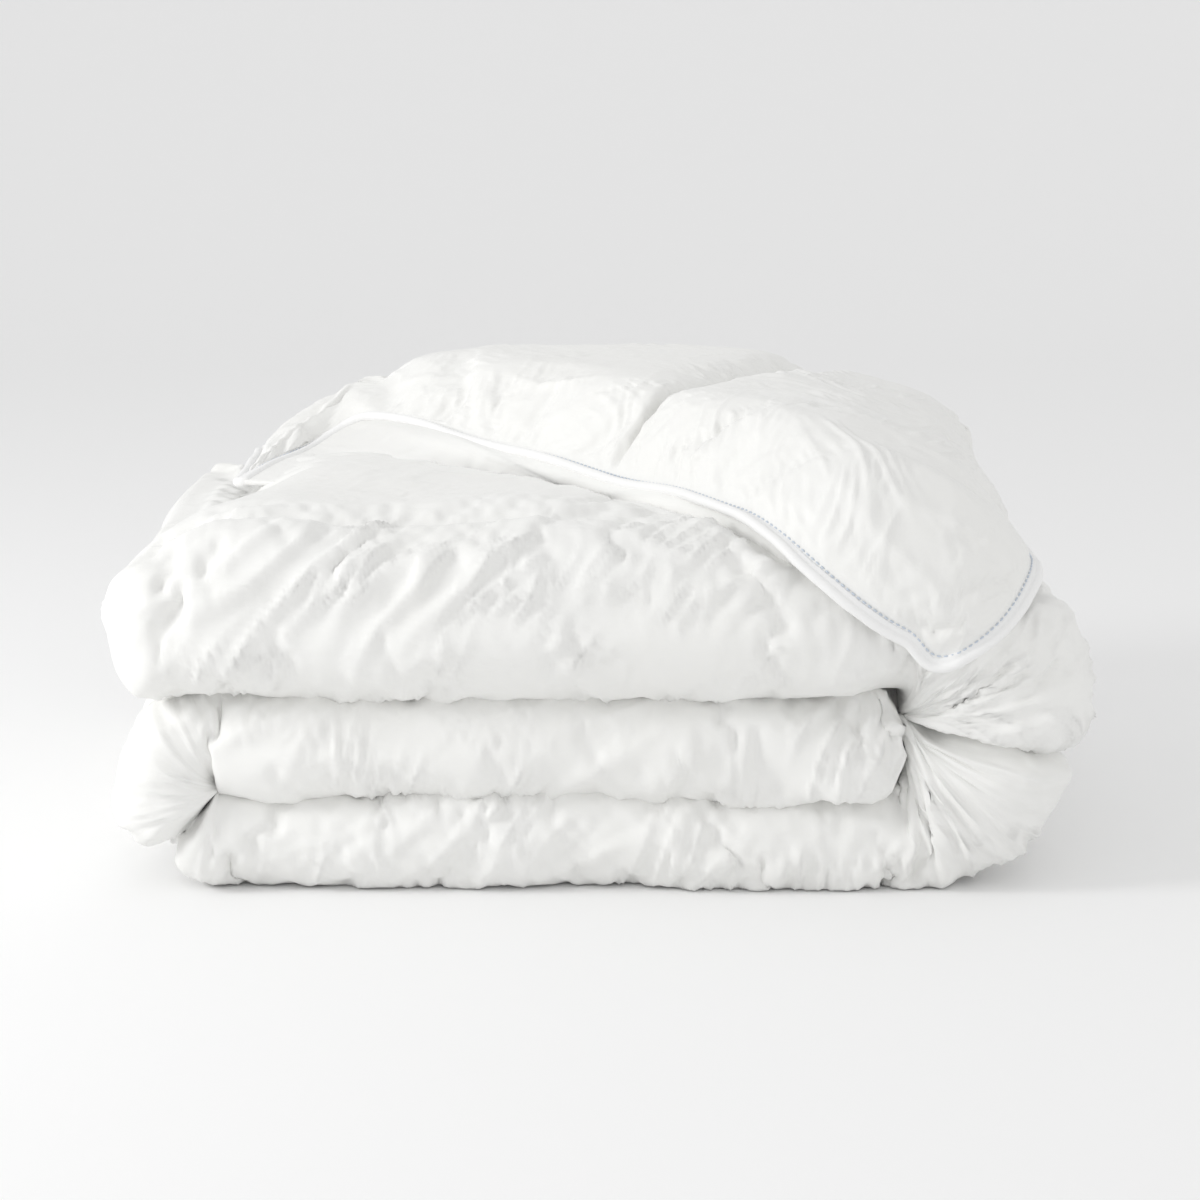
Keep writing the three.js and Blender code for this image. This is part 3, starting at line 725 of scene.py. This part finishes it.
# a leaf point is given by two shares: a runs from left to right, b from the back fold to the
# front edge; b is below zero where the leaf turns down at the back
def leafPlan(a, b):
    look = leafLook
    a, b = roundedCorner(a, b)
    over = np.clip(b, 0, 1)
    seam = seamShareBack + (seamShareFront - seamShareBack) * over
    share = np.where(a < 0.5, a / 0.5 * seam, seam + (a - 0.5) / 0.5 * (1 - seam))
    frontX = np.interp(share, edgeShare, edgeCurve[:, 0])
    frontReach = np.interp(share, edgeShare, edgeCurve[:, 1])
    backX = look["backLeft"] + backWidth * share
    x = backX + (frontX - backX) * over
    turned = -b / look["back"] * look["backTurn"] * look["backRadius"]
    return x, np.where(b < 0, turned, b * frontReach), frontReach


# thickness of the filled leaf, lift of its front edge, distances from its edge and its seam
def leafShape(a, b):
    look = leafLook
    x, reach, frontReach = leafPlan(a, b)
    toSide = np.minimum(a, 1 - a) * leafWidth
    toFront = (1 - b) * frontReach
    toEdge = np.minimum(toSide, toFront)
    inside = np.clip((toEdge - look["band"]) / look["riseOver"], 0, 1)
    toSeam = np.abs(a - 0.5) * leafWidth
    loft = np.array(look["loft"])
    full = np.interp(x, loft[:, 0], loft[:, 1]) * (1 - 0.42 * smooth(0.36, 0.52, reach))
    full = full * (1 - look["groove"] * np.exp(-(toSeam / look["grooveWidth"]) ** 1.1)
                   - 0.12 * np.exp(-(toSeam / 0.04) ** 2))
    thick = look["edgeThick"] + np.maximum(full - look["edgeThick"], 0) * np.sin(inside * math.pi / 2) ** 0.8
    lift = look["lift"] * smooth(-0.262, -0.2, x) * (1 - smooth(-0.17, 0.0, x)) * np.exp(-toFront / 0.06)
    lift = lift + 0.0025 * (1 + np.sin(a * 31 + 1)) * np.exp(-toFront / 0.04)
    return thick, lift, toEdge, toSeam, x, reach


def leafPoint(a, b, share, extra=0.0):
    thick, lift, _, _, x, reach = leafShape(a, b)
    return overUpper(x, reach, leafLook["rest"] + lift + share * thick + extra)


# how far a point of the upper strip lies inside the leaf's front edge
def underLeaf(x, reach):
    frontReach = np.interp(x, edgeCurve[:, 0], edgeCurve[:, 1])
    toLeft, toRight = x - leafLook["backLeft"], leafLook["backRight"] + 0.01 - x
    return np.minimum(frontReach - reach, np.minimum(toLeft, toRight))


# upper strip
upperLook = {
    "first": 3.43, "last": 5.0, "step": 0.009, "refine": 3, "startRound": 0.035, "endRound": 0.12,
    "endUnder": 0.04, "cornerInset": 0.05, "leaves": 2, "backInset": 0.02,
    "wrinkles": (0.0052, 0.0042, 0.0024, 0.0008), "tilt": (134, 130, 122), "uneven": 0.007,
    "pressed": 0.010, "stitchDip": 0.0024, "seamGathers": 0.0024, "gathers": 0.0034, "fan": 0.0036,
    "frontInset": lambda p: 0.0 * p, "seamReach": 0.068, "seamDepth": 0.004, "backSink": 0.02,
    "bulges": lambda p: (0.0 * p, 0.024 * smooth(3.98, 4.09, p)),
    "puff": {"pressure": 5.0, "shrink": -0.02, "stretch": 12.0, "bend": 0.5, "frames": 14, "cap": 0.007},
}


# the same point as the leaf counts it: X along the strip and reach forward from the back fold
def upperAlong(place, t):
    x = np.where(place < 4, rightBendX + (4 - place) * math.pi * (rightBendR + upperThick / 2),
                 rightBendX + (place - 4) * (upperEndX - rightBendX))
    reach = foldAxis[1] - (frontY + upperThick / 2) + upperQuarter - t
    return x, reach


# distance from the quilted seam along the strip's top, and how much there is of it
def topSeam(place, y, w):
    return y - (frontY + upperLook["seamReach"]), smooth(4.2, 4.36, place) * smooth(0.02, 0.04, w)


# broad shape: the seam's valley, the leaf's weight, the sunk left end and uneven filling
def upperBroad(place, u, t, y, w):
    look = upperLook
    x, reach = upperAlong(place, t)
    onTop = smooth(0.02, 0.04, w)
    away, seamOn = topSeam(place, y, w)
    seam = look["seamDepth"] * bump(0, 0.02, away) * seamOn
    inside = underLeaf(x, reach)
    under = smooth(-0.035, 0.0, inside) * onTop
    pressed = look["pressed"] * under * (1 - 0.7 * smooth(0.02, 0.1, inside))
    sunk = backSink(x, y) * onTop
    return look["uneven"] * softNoise(u / 0.16, t / 0.16, 9) * (1 - under * 0.7) - seam - pressed - sunk


def upperFine(place, u, t, y, w):
    look = upperLook
    x, reach = upperAlong(place, t)
    seen = 0.2 + 0.8 * (1 - smooth(frontY + 0.04, frontY + 0.12, y))
    seen = seen * (1 - 0.6 * smooth(4.8, 4.98, place))
    under = smooth(0.0, 0.02, underLeaf(x, reach)) * smooth(0.0, 0.02, w)
    made = wrinkled(u, t, 31, look["wrinkles"], look["tilt"]) * seen
    away, seamOn = topSeam(place, y, w)
    made = made - look["stitchDip"] * np.exp(-np.abs(away) / 0.005) * seamOn
    seamGathers = creases(u, t, 88, 0.05, 0.011, 71) * patches(u, t * 0, 0.08, 72, -0.3, 0.3)
    made = made + look["seamGathers"] * seamGathers * np.exp(-np.abs(away) / 0.02) * seamOn
    # short gathers where it rests on the middle strip
    contact = np.exp(-((t + upperQuarter * 0.85) / 0.025) ** 2)
    gathers = creases(u, t, 96, 0.08, 0.02, 81) * patches(u, t, 0.07, 82) * contact
    made = made + look["gathers"] * gathers
    # folds that fan out round the right bend
    frontness = 1 - smooth(frontY + 0.07, frontY + 0.16, y)
    bend = 1 - smooth(3.9, 4.25, place)
    made = made + look["fan"] * creases(u, t, 90, 0.11, 0.026, 91) * bend * frontness
    toPole = smooth(0.0, 0.07, rightBendR + w)
    return made * (1 - under) * (1 - bend * (1 - toPole))


upperLook["broad"] = upperBroad
upperLook["fine"] = upperFine


# the underside, the quilted seam and what the leaf covers don't puff out
def upperHold(place, t, y, w):
    x, reach = upperAlong(place, t)
    deep = (w < 0) & (y > frontY + 0.07) & (y < backY - 0.05)
    seam = (w > 0.04) & (np.abs(y - frontY - upperLook["seamReach"]) < 0.006) & (place > 4.25)
    covered = (underLeaf(x, reach) > -0.012) & (w > 0)
    return np.where(deep | seam | covered, 1.0, 0.0)


def makeUpperStrip():
    obj = stripPiece("duvet_upper_strip", upperLook, upperHold)
    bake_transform(obj)
    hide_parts(*upperNodes)


# normals of the leaf's top, turned up
def upward(top):
    normal = gridNormals(top, False)
    return normal if normal[..., 2].mean() > 0 else -normal


def makeLooseLeaf():
    look = leafLook
    step = look["step"]
    across = np.linspace(0, 1, 2 * int(leafWidth / step / 2) + 1)
    along = np.linspace(look["back"], 1, int(look["length"] / step) + 1)
    a, b = np.meshgrid(across, along)
    toEdge, toSeam, x, reach = leafShape(a, b)[2:]
    top = leafPoint(a, b, 1.0)
    low = leafPoint(a, b, 0.0)
    normal = upward(top)
    broad = look["uneven"] * softNoise(x / 0.14, reach / 0.14, 41) * smooth(0.02, 0.06, toEdge)
    top = top + normal * broad[..., None]
    # one ring per row: along the top and back along the underside
    grid = np.concatenate([top, low[:, ::-1]], 1)
    holdTop = np.where((toEdge < 0.012) | (toSeam < 0.005) | (b < -0.12), 1.0, 0.0)
    hold = np.concatenate([holdTop, np.ones_like(holdTop)], 1)
    grid = puffed("duvet_loose_leaf", grid, hold, look["puff"])
    count = len(across)
    factor = look["refine"]
    top = finer(grid[:, :count], factor, False)
    low = finer(grid[:, count:], factor, False)
    fields = finer(np.stack([a, b], 2), factor, False)
    a, b = np.clip(fields[..., 0], 0, 1), np.clip(fields[..., 1], look["back"], 1)
    toEdge, toSeam, x, reach = leafShape(a, b)[2:]
    normal = upward(top)
    fine = wrinkled(x, reach, 43, look["wrinkles"], look["tilt"]) * smooth(0.012, 0.035, toEdge)
    alongEdge = a * leafWidth
    edgeGathers = creases(alongEdge, toEdge, 90, 0.04, 0.012, 45) * patches(alongEdge, toEdge, 0.05, 46)
    fine = fine + look["gathers"] * edgeGathers * bump(0.028, 0.018, toEdge)
    seamGathers = creases(toSeam, reach, 0, 0.04, 0.012, 47) * patches(toSeam * 0, reach, 0.05, 48)
    offEdge = smooth(0.01, 0.03, toEdge)
    fine = fine + look["gathers"] * seamGathers * bump(0.016, 0.016, toSeam) * offEdge
    fine = fine - look["stitchDip"] * np.exp(-toSeam / 0.003) * offEdge
    fine = fine * (0.3 + 0.7 * smooth(-0.24, -0.1, x))
    top = top + normal * fine[..., None]
    # the crown is pressed down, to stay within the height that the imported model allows
    high = look["crownZ"]
    settled = high + look["crownRise"] * np.tanh((top[..., 2] - high) / look["crownSoft"])
    top[..., 2] = np.where(top[..., 2] > high, settled, top[..., 2])
    obj = meshFromGrid("duvet_loose_leaf", np.concatenate([top, low], 1))
    dressed(obj, "cotton")
    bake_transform(obj)
    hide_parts("leaf_face_panel", "leaf_lining_panel", "leaf_left_filling",
                "leaf_right_filling", "leaf_cross_quilting")
    print("loose leaf made of", len(obj.data.vertices), "points")


# route round the leaf's free edges, a little way in from them: left, long front and right
def edgeRoute(step, inset=0.0, share=0.5, extra=0.0):
    left = [(0, b) for b in np.linspace(0, 1, 40)[:-1]]
    front = [(a, 1) for a in np.linspace(0, 1 - cornerAcross, 220)]
    corner = [(1 - cornerAcross + cornerAcross * f, 1) for f in np.linspace(0, 1, 12)[1:]]
    corner += [(1, 1 - cornerAlong * f) for f in np.linspace(0, 1, 12)[1:]]
    right = [(1, b) for b in np.linspace(1 - cornerAlong, 0, 90)[1:]]
    a, b = np.array(left + front + corner + right).T
    sideIn = inset / leafWidth
    frontIn = inset / np.maximum(leafPlan(a, b)[2], 0.02)
    route = leafPoint(np.clip(a, sideIn, 1 - sideIn), np.minimum(b, 1 - frontIn), share, extra)
    up = leafPoint(a, b, 1.0, 0.004) - leafPoint(a, b, 0.0)
    length = np.concatenate([[0], np.cumsum(np.linalg.norm(np.diff(route, axis=0), axis=1))])
    wanted = np.arange(0, length[-1], step)
    centre, up = (np.stack([np.interp(wanted, length, line[:, k]) for k in range(3)], 1)
                  for line in (route, up))
    tangent = unit(np.gradient(centre, axis=0))
    out = unit(np.cross(tangent, unit(up)))
    return centre, out, unit(np.cross(out, tangent))


pipingLook = {"radius": 0.0042, "offset": 0.0034, "tail": 0.009, "tailHalf": 0.0026, "open": 22,
              "wobble": 0.0008, "step": 0.0035}


# cord wrapped in a bias strip, whose tail runs into the seam
def makePiping():
    look = pipingLook
    centre, out, up = edgeRoute(look["step"])
    turn = math.radians(180 - look["open"])
    angles = np.linspace(-turn, turn, 15)
    cord = look["radius"] * np.stack([np.cos(angles), np.sin(angles)], 1)
    tail = np.array([[-look["tail"], look["tailHalf"]], [-look["tail"], -look["tailHalf"]]])
    outline = np.concatenate([cord, tail])
    run = np.arange(len(centre)) * look["step"]
    wobble = look["wobble"] * softNoise(run / 0.03, 0.5, 81)
    spine = centre + out * (look["offset"] + wobble[:, None])
    size = 1 + 0.05 * softNoise(run / 0.012, 3.5, 83)
    obj = meshFromGrid("leaf_piping", tubeGrid(spine, out * size[:, None], up * size[:, None], outline))
    subdivided(obj)
    dressed(obj, "piping")
    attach(obj, "loose_leaf")
    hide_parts("leaf_piping_tape", "leaf_piping_cord")
    print("piping made")


stitchLook = {"inset": 0.0062, "pitch": 0.0052, "length": 0.0038, "radius": 0.0007, "sides": 6,
              "shape": [(-1.0, 0.15, -0.9), (-0.7, 0.8, -0.1), (0.0, 1.0, 0.35), (0.7, 0.8, -0.1),
                        (1.0, 0.15, -0.9)]}


# a row of stitches: short rounded bars that dip into the cloth between holes
def stitchRow(name, points, ups, look):
    gaps = np.linalg.norm(np.diff(points, axis=0), axis=1)
    run = np.concatenate([[0], np.cumsum(gaps)])
    pitch, length, radius, ring = (look[k] for k in ("pitch", "length", "radius", "sides"))

    def at(s, line):
        return np.array([np.interp(s, run, line[:, k]) for k in range(3)])

    verts, faces = [], []
    start = pitch / 2
    while start < run[-1] - pitch / 2:
        centre = at(start, points)
        ahead = unit(at(start + length / 2, points) - at(start - length / 2, points))
        up = unit(at(start, ups))
        side = unit(np.cross(ahead, up))
        first = len(verts)
        for s, r, h in look["shape"]:
            c = centre + ahead * s * length / 2 + up * h * radius
            for k in range(ring):
                t = 2 * math.pi * k / ring
                verts.append(tuple(c + radius * r * (math.cos(t) * side + math.sin(t) * up)))
        for j in range(first, len(verts) - ring, ring):
            for k in range(ring):
                n = (k + 1) % ring
                faces.append((j + k, j + n, j + ring + n, j + ring + k))
        faces.append(tuple(range(first, first + ring))[::-1])
        faces.append(tuple(range(len(verts) - ring, len(verts))))
        start += pitch
    return meshObject(name, verts, faces)


def makeEdgeStitches():
    look = stitchLook
    centre, out, up = edgeRoute(0.003, look["inset"], 1.0, look["radius"] * 0.7)
    obj = stitchRow("leaf_stitches", centre, up, look)
    dressed(obj, "edgeThread")
    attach(obj, "loose_leaf")
    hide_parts("leaf_edge_stitching")
    print("edge stitches made")


labelLook = {"root": -0.15, "rows": 16, "thick": 0.0003, "middle": 0.0004, "lower": 0.001,
             "droop": 0.0022, "width": 0.96}


# a short tape across the seam, from its sewn end to a free end that droops, dressed in the painted shade of
# the piping's blue-grey shadow
def makeLabel():
    look = labelLook
    pos = np.array(joints["label_flip"]["pos_m"])
    axis = unit(np.array(joints["label_flip"]["axis"]))
    out = (labelLow + labelHigh) / 2 - pos
    reach = 2 * np.linalg.norm(out)
    out = unit(out)
    up = unit(np.cross(out, axis))
    up = up if up[2] > 0 else -up
    half = axis * (labelHigh[1] - labelLow[1]) * look["width"] / 2
    thick = up * look["thick"]
    middle = up * look["middle"]
    grid = []
    for s in np.linspace(look["root"], 1, look["rows"]):
        c = pos + out * reach * s - up * (look["droop"] * max(0, s) ** 2 + look["lower"])
        grid.append([c - half + thick, c - half / 2 + thick, c + thick + middle, c + half / 2 + thick,
                     c + half + thick, c + half - thick, c - thick + middle, c - half - thick])
    obj = meshFromGrid("care_label_tape", np.array(grid))
    dressed(obj, "label")
    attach(obj, "label")
    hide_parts("care_label")
    print("label made")


makeLowerStrips()
makeUpperStrip()
makeLooseLeaf()
makePiping()
makeEdgeStitches()
makeLabel()


# floor, light and camera
studio = {
    "floor": 0.94, "world": 0.8, "aim": (0, 0, 0.15),
    "lamps": [{"name": "key", "place": (-2.3, -0.8, 1.2), "size": 0.7, "power": 24.0},
              {"name": "side", "place": (2.2, -1.6, 1.2), "size": 2.0, "power": 3.5}],
    "elevation": 12.0, "lens": 85.0, "distance": 2.42, "target": (0.004, 0.0, 0.180),
}


# a pale floor that curves up into a wall behind the duvet
def makeFloor():
    line = [(-12.0, 0.0), (3.0, 0.0)]
    line += [(3.0 + 3 * math.sin(t), 3 - 3 * math.cos(t)) for t in np.linspace(0.08, math.pi / 2, 16)]
    line += [(6.0, 12.0)]
    verts = [(x, y, z - 0.0002) for y, z in line for x in (-14, 14)]
    faces = [(2 * k, 2 * k + 1, 2 * k + 3, 2 * k + 2) for k in range(len(line) - 1)]
    floor = meshObject("studio_floor", verts, faces)
    floor.data.materials.append(Finish("pale_floor", (studio["floor"],) * 3, 0.9).data)


def aimed(obj, place, target):
    obj.location = place
    obj.rotation_euler = (Vector(target) - Vector(place)).to_track_quat("-Z", "Y").to_euler()


def makeLight():
    world = bpy.data.worlds.new("soft_room")
    world.use_nodes = True
    background = world.node_tree.nodes["Background"]
    background.inputs["Color"].default_value = (1, 1, 1, 1)
    background.inputs["Strength"].default_value = studio["world"]
    scene.world = world
    for lamp in studio["lamps"]:
        light = bpy.data.lights.new(lamp["name"], "AREA")
        light.size = lamp["size"]
        light.energy = lamp["power"]
        aimed(linked(lamp["name"], light), lamp["place"], studio["aim"])
    scene.view_settings.view_transform = "Standard"


def makeCamera():
    data = bpy.data.cameras.new("camera")
    data.lens = studio["lens"]
    scene.camera = linked("camera", data)
    turn = math.radians(studio["elevation"])
    target = Vector(studio["target"])
    back = studio["distance"] * Vector((0, -math.cos(turn), math.sin(turn)))
    aimed(scene.camera, target + back, target)


makeFloor()
makeLight()
makeCamera()
print("studio made")
